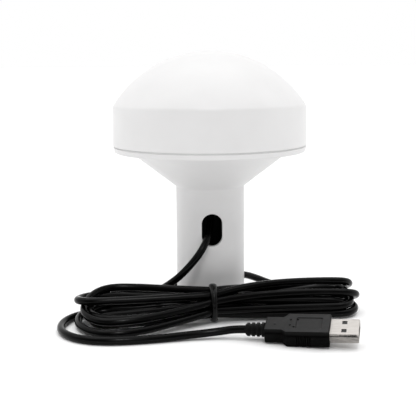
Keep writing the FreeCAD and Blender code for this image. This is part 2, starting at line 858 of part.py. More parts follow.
def plug_shell():
    """Folded metal shell with two pairs of latch windows."""
    width, thick, wall = size("shell_width"), size("shell_thick"), size("shell_wall")
    back, nose = -size("shell_in"), size("shell_out")
    outer = centred_box("shell_outer", back, nose, width, thick)
    inner = centred_box("shell_inner", back, nose, width - wall * 2, thick - wall * 2)
    windows = [box("shell_window_%d" % i, 2.5, 2.0, 6.0, x=5.8, y=y, z=-3.0)
               for i, y in enumerate((-2.85, 2.85), start=1)]
    rounded = round_edges("shell_round", outer, 0.6, lambda e: e.Length > 15)
    return keep(lay_plug_piece(cut("shell_hollow", rounded, inner, *windows)), "plug_shell")


TONGUE_LOW = -0.1


def plug_tongue():
    """Insulating tongue along the upper side of the shell, with four contacts below it."""
    inner_half = DIMENSIONS["shell_thick"] / 2 - DIMENSIONS["shell_wall"]
    thick = inner_half - TONGUE_LOW
    back = -size("shell_in")
    block = centred_box("tongue_block", back, 11.4, 11.2, thick, z=TONGUE_LOW + thick / 2)
    tongue = round_edges("tongue_round", block, 0.3, lambda e: 10 < e.Length < 12)
    keep(lay_plug_piece(tongue), "plug_tongue")
    for i, (y, nose) in enumerate(((-3.5, 11.0), (-1.0, 10.0), (1.0, 10.0), (3.5, 11.0)), start=1):
        block = centred_box("contact_block_%d" % i, back, nose, 1.0, 0.2, y=y, z=TONGUE_LOW - 0.1)
        strip = round_edges("contact_round_%d" % i, block, 0.05,
                            lambda e: e.Length > 10 and e.Vertexes[0].Z < TONGUE_LOW - 0.15)
        keep(lay_plug_piece(strip), "plug_contact_%d" % i)


def plug_relief():
    """Ribbed strain relief behind the heel: a core with four collars."""
    rear = -size("mould_total")
    length = size("relief_length")
    along_x = Rotation(Y_AXIS, -90)
    core = cylinder("relief_core", size("relief_core"), length, x=rear, rotation=along_x)
    pieces = [core]
    for i in range(4):
        collar = cylinder("relief_collar_%d" % i, size("relief_radius") - 0.1 * i, 1.4,
                          x=rear - 0.2 - i * 2.2, rotation=along_x)
        pieces.append(collar)
    return keep(lay_plug_piece(fuse("relief_whole", pieces)), "plug_relief")


def relief_rear():
    """The middle of the strain relief's rear face, where the cord's last run ends."""
    rear = DIMENSIONS["mould_total"] + DIMENSIONS["relief_length"]
    return tuple(plug_placement().multVec(Vector(-rear, 0, 0)))


# ---------------------------------------------------------------- build and check

def check(thing):
    states = [s for s in thing.State if s in ("Invalid", "Error")]
    assert not states, (thing.Label, states)


def main():
    radome_cover()
    base_housing()
    neck_liner()
    seam_gasket()
    cable_grommet()
    inner_cable()
    main_board()
    board_screws()
    antenna_stack()
    board_chips()
    board_crystal()
    backup_cell()
    wire_connector()
    cable_wires()
    hank = cord_hank()
    for node, route in (("cord_lead", LEAD_ROUTE), ("cord_tail", TAIL_ROUTE + [relief_rear()])):
        whole = tube(node, route, size("cord_diameter"), report=True)
        keep(cut(node + "_to_hank", whole, hank), node)
    hank_tie()
    plug_body()
    plug_shell()
    plug_tongue()
    plug_relief()
    doc.recompute()
    for thing in doc.Objects:
        check(thing)
    os.makedirs("parts", exist_ok=True)
    for thing in parts:
        shape = thing.Shape
        assert not shape.isNull() and shape.isValid() and shape.Solids, thing.Label
        shape.exportStep("parts/%s.step" % thing.Label)
    print(len(parts), "sub-parts")


main()
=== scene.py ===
"""Looks of a GNSS receiver with a tied USB cord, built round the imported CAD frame, in metres.

Frame: +Z up, origin at the centre of the neck's foot, and the cable outlet faces -Y.
Sizes are written in millimetres and scaled by MM where they become geometry.
"""

import json
import math

import bmesh
import bpy
import numpy as np
from mathutils import Matrix, Vector


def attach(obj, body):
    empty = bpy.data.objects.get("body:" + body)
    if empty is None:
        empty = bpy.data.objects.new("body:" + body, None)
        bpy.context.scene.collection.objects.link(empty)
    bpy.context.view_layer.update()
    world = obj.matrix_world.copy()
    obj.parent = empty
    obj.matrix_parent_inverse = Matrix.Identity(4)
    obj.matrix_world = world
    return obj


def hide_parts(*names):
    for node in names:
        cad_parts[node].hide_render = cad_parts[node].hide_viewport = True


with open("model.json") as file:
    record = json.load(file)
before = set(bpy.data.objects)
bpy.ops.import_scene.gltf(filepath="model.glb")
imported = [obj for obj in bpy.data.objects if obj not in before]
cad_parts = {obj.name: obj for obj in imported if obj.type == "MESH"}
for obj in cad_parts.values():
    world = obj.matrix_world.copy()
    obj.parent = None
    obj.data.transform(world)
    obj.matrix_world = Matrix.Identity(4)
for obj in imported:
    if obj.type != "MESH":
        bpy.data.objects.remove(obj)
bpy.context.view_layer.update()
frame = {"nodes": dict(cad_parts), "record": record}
nodes = frame["nodes"]
scene = bpy.context.scene

MM = 0.001


# ---------------------------------------------------------------- materials

def srgb(level):
    """A display level from 0 to 1 as linear light."""
    return level / 12.92 if level <= 0.04045 else ((level + 0.055) / 1.055) ** 2.4


class Look:
    """A procedural material: object coordinates feed every texture."""

    def __init__(self, name):
        self.material = bpy.data.materials.new(name)
        self.material.use_nodes = True
        self.tree = self.material.node_tree
        self.shader = self.tree.nodes["Principled BSDF"]
        self.place = self.tree.nodes.new("ShaderNodeTexCoord").outputs["Object"]

    def link(self, source, target):
        self.tree.links.new(source, target)

    def stretched(self, scale):
        """Object coordinates stretched along an axis."""
        node = self.tree.nodes.new("ShaderNodeMapping")
        node.inputs["Scale"].default_value = scale
        self.link(self.place, node.inputs["Vector"])
        return node.outputs["Vector"]

    def noise(self, size, detail=3.0, place=None):
        """Noise whose features are about this many millimetres."""
        node = self.tree.nodes.new("ShaderNodeTexNoise")
        node.inputs["Scale"].default_value = 1 / (size * MM)
        node.inputs["Detail"].default_value = detail
        self.link(place or self.place, node.inputs["Vector"])
        return node.outputs["Fac"]

    def colours(self, factor, low, high, start=0.3, end=0.7):
        node = self.tree.nodes.new("ShaderNodeValToRGB")
        node.color_ramp.elements[0].position = start
        node.color_ramp.elements[1].position = end
        node.color_ramp.elements[0].color = (*low, 1)
        node.color_ramp.elements[1].color = (*high, 1)
        self.link(factor, node.inputs["Fac"])
        self.link(node.outputs["Color"], self.shader.inputs["Base Color"])

    def roughness(self, factor, low, high):
        node = self.tree.nodes.new("ShaderNodeMapRange")
        node.inputs["From Min"].default_value = 0.3
        node.inputs["From Max"].default_value = 0.7
        node.inputs["To Min"].default_value = low
        node.inputs["To Max"].default_value = high
        self.link(factor, node.inputs["Value"])
        self.link(node.outputs["Result"], self.shader.inputs["Roughness"])

    def bump(self, height, depth):
        """Bump of this depth in millimetres."""
        node = self.tree.nodes.new("ShaderNodeBump")
        node.inputs["Strength"].default_value = 1.0
        node.inputs["Distance"].default_value = depth * MM
        self.link(height, node.inputs["Height"])
        self.link(node.outputs["Normal"], self.shader.inputs["Normal"])

    def sockets(self, **values):
        for name, value in values.items():
            self.shader.inputs[name.replace("_", " ")].default_value = value
        return self.material


def moulded(name, low, high, rough, grain=0.6, depth=0.004, mottle=14.0, **values):
    """Moulded plastic or rubber: faint mottling, uneven gloss and a fine skin."""
    look = Look(name)
    look.colours(look.noise(mottle), low, high)
    look.roughness(look.noise(mottle * 0.4, 5.0), *rough)
    look.bump(look.noise(grain, 2.0), depth)
    return look.sockets(**values)


def metal(name, low, high, rough, along=(1.0, 1.0, 1.0), grain=0.3, depth=0.003, **values):
    """Metal with a fine drawn grain along one axis."""
    look = Look(name)
    place = look.stretched(along)
    look.colours(look.noise(6.0, 4.0, place), low, high)
    look.roughness(look.noise(grain * 3, 4.0, place), *rough)
    look.bump(look.noise(grain, 2.0, place), depth)
    return look.sockets(Metallic=1.0, **values)


def board_look():
    """Green solder mask with a hint of copper tracks under it."""
    look = Look("solder_mask")
    brick = look.tree.nodes.new("ShaderNodeTexBrick")
    brick.inputs["Scale"].default_value = 220.0
    brick.inputs["Mortar Size"].default_value = 0.03
    brick.inputs["Color1"].default_value = (0.012, 0.12, 0.04, 1)
    brick.inputs["Color2"].default_value = (0.016, 0.15, 0.05, 1)
    brick.inputs["Mortar"].default_value = (0.03, 0.22, 0.07, 1)
    look.link(look.place, brick.inputs["Vector"])
    look.link(brick.outputs["Color"], look.shader.inputs["Base Color"])
    look.roughness(look.noise(2.0), 0.28, 0.42)
    look.bump(brick.outputs["Fac"], 0.02)
    return look.sockets()


def overmoulding():
    """Black PVC with a fine grain; faces that look up or down are painted a lighter grey, partly the
    eroded grain's own tone and partly painted top light.
    """
    look = Look("plug_moulding")
    axes = look.tree.nodes.new("ShaderNodeSeparateXYZ")
    look.link(look.place.node.outputs["Normal"], axes.inputs["Vector"])
    painted_light_mask = look.tree.nodes.new("ShaderNodeMath")
    painted_light_mask.operation = "ABSOLUTE"
    look.link(axes.outputs["Z"], painted_light_mask.inputs[0])
    # Painted top light: the size of the world normal's Z lifts faces that look up or down to a lighter
    # grey.
    look.colours(painted_light_mask.outputs["Value"], (0.003,) * 3, (0.028,) * 3, start=0.86, end=0.93)
    look.roughness(look.noise(2.0), 0.42, 0.54)
    look.bump(look.noise(0.16, 2.0), 0.012)
    return look.sockets(Specular_IOR_Level=0.08)


def make_looks():
    """One material for each slot of the record."""
    white = dict(low=(0.745, 0.74, 0.74), high=(0.765, 0.76, 0.76), Specular_IOR_Level=0.42)
    black = dict(low=(0.0008, 0.0008, 0.0008), high=(0.0018, 0.0018, 0.0018))
    wire = dict(rough=(0.35, 0.5), grain=0.2, depth=0.003)
    return {
        "cover_white": moulded("radome_white", rough=(0.30, 0.38), grain=0.9, depth=0.003, **white),
        "housing_white": moulded("housing_white", rough=(0.34, 0.44), grain=0.7, depth=0.004, **white),
        "liner_black": moulded("liner_nylon", (0.004,) * 3, (0.009,) * 3, (0.45, 0.6),
                               Specular_IOR_Level=0.25),
        "seal_silicone": moulded("seal_silicone", (0.68,) * 3, (0.74,) * 3, (0.55, 0.7),
                                 Specular_IOR_Level=0.3),
        "seal_rubber": moulded("seal_rubber", (0.02,) * 3, (0.035,) * 3, (0.6, 0.75),
                               Specular_IOR_Level=0.3),
        "cord_jacket": moulded("cord_jacket", rough=(0.15, 0.19), grain=1.5, depth=0.002, mottle=9.0,
                               Specular_IOR_Level=0.09, **black),
        "nylon": moulded("natural_nylon", (0.72, 0.69, 0.6), (0.8, 0.77, 0.68), (0.4, 0.55)),
        "board": board_look(),
        "screw_steel": metal("zinc_plated", (0.52, 0.52, 0.5), (0.66, 0.66, 0.64), (0.25, 0.42)),
        "tinned_metal": metal("tinned_sheet", (0.55, 0.55, 0.52), (0.7, 0.7, 0.67), (0.22, 0.4)),
        "foam_pad": moulded("adhesive_foam", (0.62, 0.6, 0.55), (0.75, 0.73, 0.68), (0.8, 0.95),
                            depth=0.05),
        "patch_ceramic": moulded("patch_ceramic", (0.48, 0.38, 0.28), (0.58, 0.48, 0.37), (0.6, 0.75),
                                 depth=0.02),
        "silver_film": metal("fired_silver", (0.72, 0.71, 0.67), (0.84, 0.83, 0.79), (0.35, 0.5)),
        "chip_black": moulded("chip_epoxy", (0.015,) * 3, (0.025,) * 3, (0.55, 0.7),
                              grain=0.1, depth=0.006),
        "capacitor_tan": moulded("capacitor_ceramic", (0.42, 0.28, 0.16), (0.52, 0.37, 0.23), (0.4, 0.55)),
        "lamp_lens": moulded("lamp_resin", (0.7, 0.76, 0.6), (0.8, 0.85, 0.7), (0.15, 0.25)),
        "wire_red": moulded("wire_red", (0.5, 0.02, 0.02), (0.62, 0.03, 0.03), **wire),
        "wire_white": moulded("wire_white", (0.7,) * 3, (0.8,) * 3, **wire),
        "wire_green": moulded("wire_green", (0.02, 0.3, 0.05), (0.03, 0.4, 0.08), **wire),
        "wire_black": moulded("wire_black", (0.01,) * 3, (0.02,) * 3, **wire),
        "tie_rubber": moulded("tie_rubber", rough=(0.22, 0.28), grain=1.2, depth=0.004,
                              Specular_IOR_Level=0.16, **black),
        "plug_moulding": overmoulding(),
        "plug_nickel": metal("plug_nickel", (0.50, 0.475, 0.45), (0.57, 0.545, 0.52), (0.42, 0.5),
                             along=(1.0, 6.0, 6.0)),
        "plug_insulator": moulded("plug_insulator", (0.01,) * 3, (0.018,) * 3, (0.45, 0.55)),
        "contact_gold": metal("contact_gold", (0.82, 0.58, 0.25), (0.9, 0.68, 0.34), (0.2, 0.32)),
    }


looks = make_looks()


def finish_cad_nodes():
    """Every CAD node takes the look of its slot; replaced ones are hidden anyway."""
    for part in frame["record"]["subparts"]:
        mesh = nodes[part["node"]].data
        mesh.materials.clear()
        mesh.materials.append(looks[part["material_slot"]])


# ---------------------------------------------------------------- mesh tools

TURN = 160          # columns round the receiver's axis


def mesh_piece(name, bm, slot, covers, sharp=32.0, place=None):
    """Turn a bmesh in millimetres into a finished piece on the root body."""
    bmesh.ops.recalc_face_normals(bm, faces=bm.faces)
    mesh = bpy.data.meshes.new(name)
    bm.to_mesh(mesh)
    bm.free()
    mesh.transform((place or Matrix()) @ Matrix.Scale(MM, 4))
    mesh.shade_smooth()
    mesh.set_sharp_from_angle(angle=math.radians(sharp))
    mesh.materials.append(looks[slot])
    piece = bpy.data.objects.new(name, mesh)
    scene.collection.objects.link(piece)
    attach(piece, "root")
    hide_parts(*covers)
    return piece


def around(radius, column, count=TURN):
    """A column's place on a circle; column 0 is at the front, -Y."""
    angle = 2 * math.pi * column / count
    return radius * math.sin(angle), -radius * math.cos(angle)


def ring(bm, radius, height, count=TURN):
    return [bm.verts.new((*around(radius, c, count), height)) for c in range(count)]


def band(bm, low, high):
    """Quads between two rings of the same count."""
    for c in range(len(low)):
        bm.faces.new((low[c - 1], low[c], high[c], high[c - 1]))


def bands(bm, rings, closed=False):
    for low, high in zip(rings, rings[1:]):
        band(bm, low, high)
    if closed:
        band(bm, rings[-1], rings[0])


def cap(bm, rim, height):
    """Close a rim with a fan to a vertex on the axis."""
    tip = bm.verts.new((0, 0, height))
    for c in range(len(rim)):
        bm.faces.new((rim[c - 1], rim[c], tip))


def arc(centre, radius, first, last, steps):
    """Points of an arc in the profile's plane, angles in degrees from +r towards +z."""
    for i in range(steps + 1):
        a = math.radians(first + (last - first) * i / steps)
        yield (centre[0] + radius * math.cos(a), centre[1] + radius * math.sin(a))


def line(start, end, steps):
    """Points of a straight line after its start."""
    for i in range(1, steps + 1):
        yield tuple(a + (b - a) * i / steps for a, b in zip(start, end))


# ---------------------------------------------------------------- radome

TOTAL_HEIGHT = 126.0
DOME_RADIUS = 56.0
RIM_RADIUS = 48.0
SHOULDER_RADIUS = 47.62
SHOULDER_ROUND = 4.0
WALL = 2.5
SEAM = 80.0
SEAM_GAP = 0.6
DOME_CENTRE = TOTAL_HEIGHT - DOME_RADIUS


def shoulder_arc():
    """The shoulder's round: tangent to the dome's sphere and to the skirt."""
    corner = Vector((SHOULDER_RADIUS, DOME_CENTRE + math.sqrt(DOME_RADIUS ** 2 - SHOULDER_RADIUS ** 2)))
    foot = Vector((RIM_RADIUS, SEAM + SEAM_GAP / 2))
    down = (foot - corner).normalized()
    inward = Vector((down.y, -down.x))
    base = corner + inward * SHOULDER_ROUND - Vector((0, DOME_CENTRE))
    along = base.dot(down)
    reach = DOME_RADIUS - SHOULDER_ROUND
    move = -along - math.sqrt(along ** 2 - base.length_squared + reach ** 2)
    centre = base + down * move
    first = math.degrees(math.atan2(centre.y, centre.x))
    last = math.degrees(math.atan2(-inward.y, -inward.x))
    return (centre.x, centre.y + DOME_CENTRE), first, last


def radome():
    bm = bmesh.new()
    centre, first, last = shoulder_arc()
    foot_height = SEAM + SEAM_GAP / 2
    foot_round = 0.4
    outer = list(arc((0, DOME_CENTRE), DOME_RADIUS, 88.5, first, 56))
    outer += list(arc(centre, SHOULDER_ROUND, first, last, 12))[1:]
    side_foot = (RIM_RADIUS - 0.01, foot_height + foot_round)
    outer += list(line(outer[-1], side_foot, 8))
    outer += list(arc((RIM_RADIUS - foot_round, foot_height + foot_round), foot_round, 0, -90, 4))[1:]
    inner_sphere = DOME_RADIUS - WALL
    inner_first = 34.0
    inner_start = next(arc((0, DOME_CENTRE), inner_sphere, inner_first, 90, 1))
    inner = [(RIM_RADIUS - WALL, foot_height), (RIM_RADIUS - WALL, foot_height + 4)]
    inner += [(inner_start[0] + 0.2, inner_start[1] - 1.0)]
    inner += list(arc((0, DOME_CENTRE), inner_sphere, inner_first, 88, 24))
    skin = [ring(bm, r, z) for r, z in outer + inner]
    bands(bm, skin)
    cap(bm, skin[0], TOTAL_HEIGHT)
    cap(bm, skin[-1], TOTAL_HEIGHT - WALL)
    return mesh_piece("radome_shell", bm, "cover_white", ["radome_cover"])


# ---------------------------------------------------------------- walls with the cable slot

SLOT_HALF = 5.0
SLOT_RISE = 3.0
SLOT_MIDDLE = 39.7
PATCH_COLUMNS = 14      # each side of the slot's middle
PATCH_LOW, PATCH_HIGH, PATCH_ROWS = 29.7, 49.7, 20
PATCH_SHARES = (0.2, 0.4, 0.58, 0.74, 0.86, 0.94, 1.0)     # rings between the patch's edge and the slot


def slot_rim(towards_x, towards_z):
    """Where a ray from the slot's middle meets its outline, and the outline's normal there."""
    away = Vector((towards_x, towards_z - SLOT_MIDDLE)).normalized()
    if abs(away.x) > 1e-9:
        hit = away * (SLOT_HALF / abs(away.x))
        if abs(hit.y) <= SLOT_RISE:
            return hit, Vector((math.copysign(1, away.x), 0))
    end = Vector((0, math.copysign(SLOT_RISE, away.y)))
    along = away.dot(end)
    hit = away * (along + math.sqrt(along ** 2 - end.length_squared + SLOT_HALF ** 2))
    return hit, (hit - end).normalized()


def slotted_wall(bm, radius, heights, rounding=0.0):
    """A wall round the axis with the slot left open.

    Gives its lowest ring, its highest ring and the slot's rim.
    """
    rows = [z for z in heights if z < PATCH_LOW]
    first = len(rows)
    rows += [PATCH_LOW + (PATCH_HIGH - PATCH_LOW) * i / PATCH_ROWS for i in range(PATCH_ROWS + 1)]
    last = len(rows) - 1
    rows += [z for z in heights if z > PATCH_HIGH]

    def inside(column, row):
        side = (column + TURN // 2) % TURN - TURN // 2
        return abs(side) < PATCH_COLUMNS and first < row < last

    grid = [[None if inside(c, i) else bm.verts.new((*around(radius, c), z)) for c in range(TURN)]
            for i, z in enumerate(rows)]
    for i in range(len(rows) - 1):
        for c in range(TURN):
            middle = (c - 0.5 + TURN / 2) % TURN - TURN / 2
            if abs(middle) < PATCH_COLUMNS and first <= i < last:
                continue
            bm.faces.new((grid[i][c - 1], grid[i][c], grid[i + 1][c], grid[i + 1][c - 1]))
    edge = [(c, first) for c in range(-PATCH_COLUMNS, PATCH_COLUMNS)]
    edge += [(PATCH_COLUMNS, i) for i in range(first, last)]
    edge += [(c, last) for c in range(PATCH_COLUMNS, -PATCH_COLUMNS, -1)]
    edge += [(-PATCH_COLUMNS, i) for i in range(last, first, -1)]
    rim = [grid[i][c % TURN] for c, i in edge]
    marks = [slot_rim(v.co.x, v.co.z) for v in rim]

    def on_wall(x, z, depth=0.0):
        return bm.verts.new((x, -math.sqrt(radius ** 2 - x ** 2) + depth, z))

    start = [(math.atan2(v.co.x, -v.co.y), v.co.z) for v in rim]
    goal = []
    for hit, normal in marks:
        out = hit + normal * rounding
        goal.append((math.asin(out.x / radius), SLOT_MIDDLE + out.y))
    for t in PATCH_SHARES:
        fresh = []
        for (a0, z0), (a1, z1) in zip(start, goal):
            a, z = a0 + (a1 - a0) * t, z0 + (z1 - z0) * t
            fresh.append(bm.verts.new((radius * math.sin(a), -radius * math.cos(a), z)))
        band(bm, rim, fresh)
        rim = fresh
    if rounding:
        for degrees in (22.5, 45, 67.5, 90):
            a = math.radians(degrees)
            fresh = []
            for hit, normal in marks:
                out = hit + normal * rounding * (1 - math.sin(a))
                fresh.append(on_wall(out.x, SLOT_MIDDLE + out.y, rounding * (1 - math.cos(a))))
            band(bm, rim, fresh)
            rim = fresh
    return grid[0], grid[-1], rim


# ---------------------------------------------------------------- flange, cone and neck

NECK_RADIUS = 17.1
NECK_BORE = 14.6
NECK_HEIGHT = 59.7
CONE_RADIUS = 39.5
LIP_RADIUS = 47.4
LIP_THICK = 2.7
BULKHEAD_LOW, BULKHEAD_THICK = 56.0, 3.0
GROMMET_HOLE = 4.2
SPIGOT_OUTER, SPIGOT_INNER, SPIGOT_RISE = 45.0, 43.6, 4.0
POST_CIRCLE, POST_RADIUS, POST_HOLE, POST_HOLE_DEPTH, POST_TOP = 40.2, 2.8, 1.15, 6.0, 86.0


def housing():
    bm = bmesh.new()
    top = SEAM - SEAM_GAP / 2
    lip_foot = top - LIP_THICK
    floor = top - 0.3
    foot_round, lip_round, waist_round = 0.6, 0.8, 0.5
    bulkhead_top = BULKHEAD_LOW + BULKHEAD_THICK
    inner_low, inner_high, inner_rim = slotted_wall(bm, NECK_BORE, [0, 6, 12, 18, 24, 53, BULKHEAD_LOW])
    outer_low, outer_high, outer_rim = slotted_wall(
        bm, NECK_RADIUS, [foot_round, 6, 12, 18, 24, 53, 57, NECK_HEIGHT - waist_round], rounding=0.35)
    band(bm, outer_rim, inner_rim)
    foot = [(NECK_BORE + 0.25, 0)]
    foot += list(arc((NECK_RADIUS - foot_round, foot_round), foot_round, -90, -15, 5))
    bands(bm, [inner_low] + [ring(bm, r, z) for r, z in foot] + [outer_low])
    slope = Vector((CONE_RADIUS - NECK_RADIUS, lip_foot - NECK_HEIGHT)).normalized()
    waist = [(NECK_RADIUS + 0.06, NECK_HEIGHT - waist_round * 0.4),
             (NECK_RADIUS + slope.x * 0.25 + 0.04, NECK_HEIGHT + slope.y * 0.25),
             (NECK_RADIUS + slope.x * waist_round, NECK_HEIGHT + slope.y * waist_round)]
    skin = waist + list(line(waist[-1], (CONE_RADIUS, lip_foot), 18))
    skin += list(line(skin[-1], (LIP_RADIUS - lip_round, lip_foot), 4))
    skin += list(arc((LIP_RADIUS - lip_round, lip_foot + lip_round), lip_round, -90, 0, 6))[1:]
    skin += [(RIM_RADIUS - 0.17, top - 0.2), (RIM_RADIUS - 0.32, top), (SPIGOT_OUTER, top)]
    skin += [(SPIGOT_OUTER, top + SPIGOT_RISE - 0.3), (SPIGOT_OUTER - 0.3, top + SPIGOT_RISE)]
    skin += [(SPIGOT_INNER, top + SPIGOT_RISE), (SPIGOT_INNER, floor)]
    skin += [(CONE_RADIUS - 0.9, floor), (NECK_BORE, NECK_HEIGHT + 1.2), (NECK_BORE, bulkhead_top)]
    skin += [(GROMMET_HOLE, bulkhead_top), (GROMMET_HOLE, BULKHEAD_LOW)]
    bands(bm, [outer_high] + [ring(bm, r, z) for r, z in skin] + [inner_high])
    piece = mesh_piece("flange_and_neck", bm, "housing_white", ["base_housing"])
    for number in range(4):
        add_post(piece, 45 + 90 * number, floor - 1.0)
    return piece


def add_post(piece, degrees, low):
    """Union a drilled board post with the housing's inner floor."""
    bm = bmesh.new()
    steps = 32
    hole_foot = POST_TOP - POST_HOLE_DEPTH
    profile = [(POST_HOLE, hole_foot), (POST_HOLE, POST_TOP), (POST_RADIUS, POST_TOP), (POST_RADIUS, low)]
    rings = [ring(bm, r, z, steps) for r, z in profile]
    bands(bm, rings)
    cap(bm, rings[0], hole_foot)
    cap(bm, rings[-1], low)
    angle = math.radians(degrees)
    spot = Matrix.Translation((POST_CIRCLE * math.cos(angle), POST_CIRCLE * math.sin(angle), 0))
    combine(piece, bm, "UNION", Matrix.Scale(MM, 4) @ spot)


def combine(piece, bm, operation, place):
    """Apply one boolean with a bmesh tool to a piece, and drop the tool."""
    bmesh.ops.recalc_face_normals(bm, faces=bm.faces)
    mesh = bpy.data.meshes.new("tool")
    bm.to_mesh(mesh)
    bm.free()
    mesh.transform(place)
    tool = bpy.data.objects.new("tool", mesh)
    scene.collection.objects.link(tool)
    step = piece.modifiers.new("tool", "BOOLEAN")
    step.operation = operation
    step.solver = "EXACT"
    step.object = tool
    graph = bpy.context.evaluated_depsgraph_get()
    shape = bpy.data.meshes.new_from_object(piece.evaluated_get(graph))
    piece.modifiers.remove(step)
    piece.data = shape
    bpy.data.objects.remove(tool)


# ---------------------------------------------------------------- liner with its thread

LINER_RADIUS = 14.5
CHAMBER_RADIUS = 12.9
THREAD_MINOR, THREAD_MAJOR, THREAD_PITCH, THREAD_LENGTH = 11.8, 12.7, 1.814, 28.0
THREAD_STEP = 0.14


def thread_radius(height, column):
    """Radius of the internal thread: flat crests and roots with 60 degree flanks."""
    depth = THREAD_MAJOR - THREAD_MINOR
    flank = depth * math.tan(math.radians(30))
    crest = THREAD_PITCH / 4
    root = THREAD_PITCH - crest - 2 * flank
    along = (height - THREAD_PITCH * column / TURN) % THREAD_PITCH
    if along < crest:
        share = 0.0
    elif along < crest + flank:
        share = (along - crest) / flank
    elif along < crest + flank + root:
        share = 1.0
    else:
        share = (THREAD_PITCH - along) / flank
    mouth = THREAD_MAJOR - height if height < 1.0 else THREAD_MINOR
    return max(THREAD_MINOR + depth * share, mouth)


def liner():
    bm = bmesh.new()
    outer_low, outer_high, outer_rim = slotted_wall(bm, LINER_RADIUS, [0, 12, 24, 53, BULKHEAD_LOW])
    inner_low, inner_high, inner_rim = slotted_wall(
        bm, CHAMBER_RADIUS, [THREAD_LENGTH + 1.0, 53, BULKHEAD_LOW])
    band(bm, outer_rim, inner_rim)
    band(bm, outer_high, inner_high)
    thread = []
    for i in range(round(THREAD_LENGTH / THREAD_STEP) + 1):
        height = i * THREAD_STEP
        spots = [around(thread_radius(height, c), c) for c in range(TURN)]
        thread.append([bm.verts.new((x, y, height)) for x, y in spots])
    bands(bm, [outer_low] + thread + [inner_low])
    return mesh_piece("neck_sleeve", bm, "liner_black", ["neck_liner"], sharp=25.0)


def gasket():
    """The sealing ring in the seam, with a rounded outer edge."""
    bm = bmesh.new()
    outer, inner, half = RIM_RADIUS - 0.4, SPIGOT_OUTER + 0.2, SEAM_GAP / 2
    profile = [(inner, SEAM - half)]
    profile += list(arc((outer - half, SEAM), half, -90, 90, 6))
    profile += [(inner, SEAM + half)]
    bands(bm, [ring(bm, r, z) for r, z in profile], closed=True)
    return mesh_piece("seam_ring", bm, "seal_silicone", ["seam_gasket"])


# ---------------------------------------------------------------- cord

CORD = 3.6              # diameter

# From the grommet down the neck, out of the slot, round behind the neck and into the hank.
LEAD_ROUTE = [
    (0.0, 0.0, 54.5),
    (0.0, 0.0, 50.6),
    (-0.1, -1.2, 46.3),
    (-0.3, -4.0, 42.7),
    (-0.7, -8.4, 39.9),
    (-1.5, -14.2, 37.4),
    (-3.2, -19.5, 34.2),
    (-6.6, -22.7, 29.2),
    (-11.4, -23.0, 23.4),
    (-16.6, -21.3, 17.7),
    (-22.2, -17.8, 12.8),
    (-27.4, -11.8, 8.4),
    (-30.0, -3.2, 4.8),
    (-28.6, 6.8, 2.6),
    (-22.6, 16.4, 2.0),
    (-13.0, 23.4, 2.2),
    (-1.6, 25.8, 3.8),
    (9.6, 23.0, 6.8),
    (18.2, 14.8, 9.8),
    (24.0, 5.2, 10.0),
    (29.6, -3.0, 9.2),
    (36.5, -8.0, 8.6),
    (46.0, -9.6, 8.0),
]

# Out of the tie, through the hank's left half.
LEAVING_ROUTE = [
    (-9.0, -31.5, 5.8),
    (-17.0, -28.8, 5.4),
    (-26.0, -27.0, 4.4),
]

# From the hank's left end, round its open loop and along the front to the plug.
TAIL_ROUTE = [
    (-36.0, -25.5, 3.0),
    (-45.0, -23.4, 2.6),
    (-54.6, -22.4, 2.0),
    (-63.6, -26.4, 1.9),
    (-69.8, -35.0, 1.9),
    (-71.6, -46.2, 1.9),
    (-68.2, -57.2, 1.9),
    (-60.0, -65.2, 1.9),
    (-48.6, -68.4, 1.9),
    (-37.0, -67.8, 1.9),
    (-26.0, -66.1, 1.9),
    (-15.6, -64.0, 2.2),
    (-7.0, -62.8, 2.6),
    (0.6, -62.6, 3.3),
    (7.16, -63.16, 4.4),
]

TIE_SPOT = Vector((-0.5, -36.5, 9.1))
BUNDLE_HALF_DEPTH, BUNDLE_HALF_HEIGHT, CORE_RADIUS = 4.7, 5.3, 2.08


def outer_place(degrees):
    """A strand's place in the bundle's outer layer at the tie, in the YZ plane from +Y towards +Z."""
    a = math.radians(degrees)
    return TIE_SPOT + Vector((0, BUNDLE_HALF_DEPTH * math.cos(a), BUNDLE_HALF_HEIGHT * math.sin(a)))


def core_place(degrees):
    a = math.radians(degrees)
    return TIE_SPOT + CORE_RADIUS * Vector((0, math.cos(a), math.sin(a)))


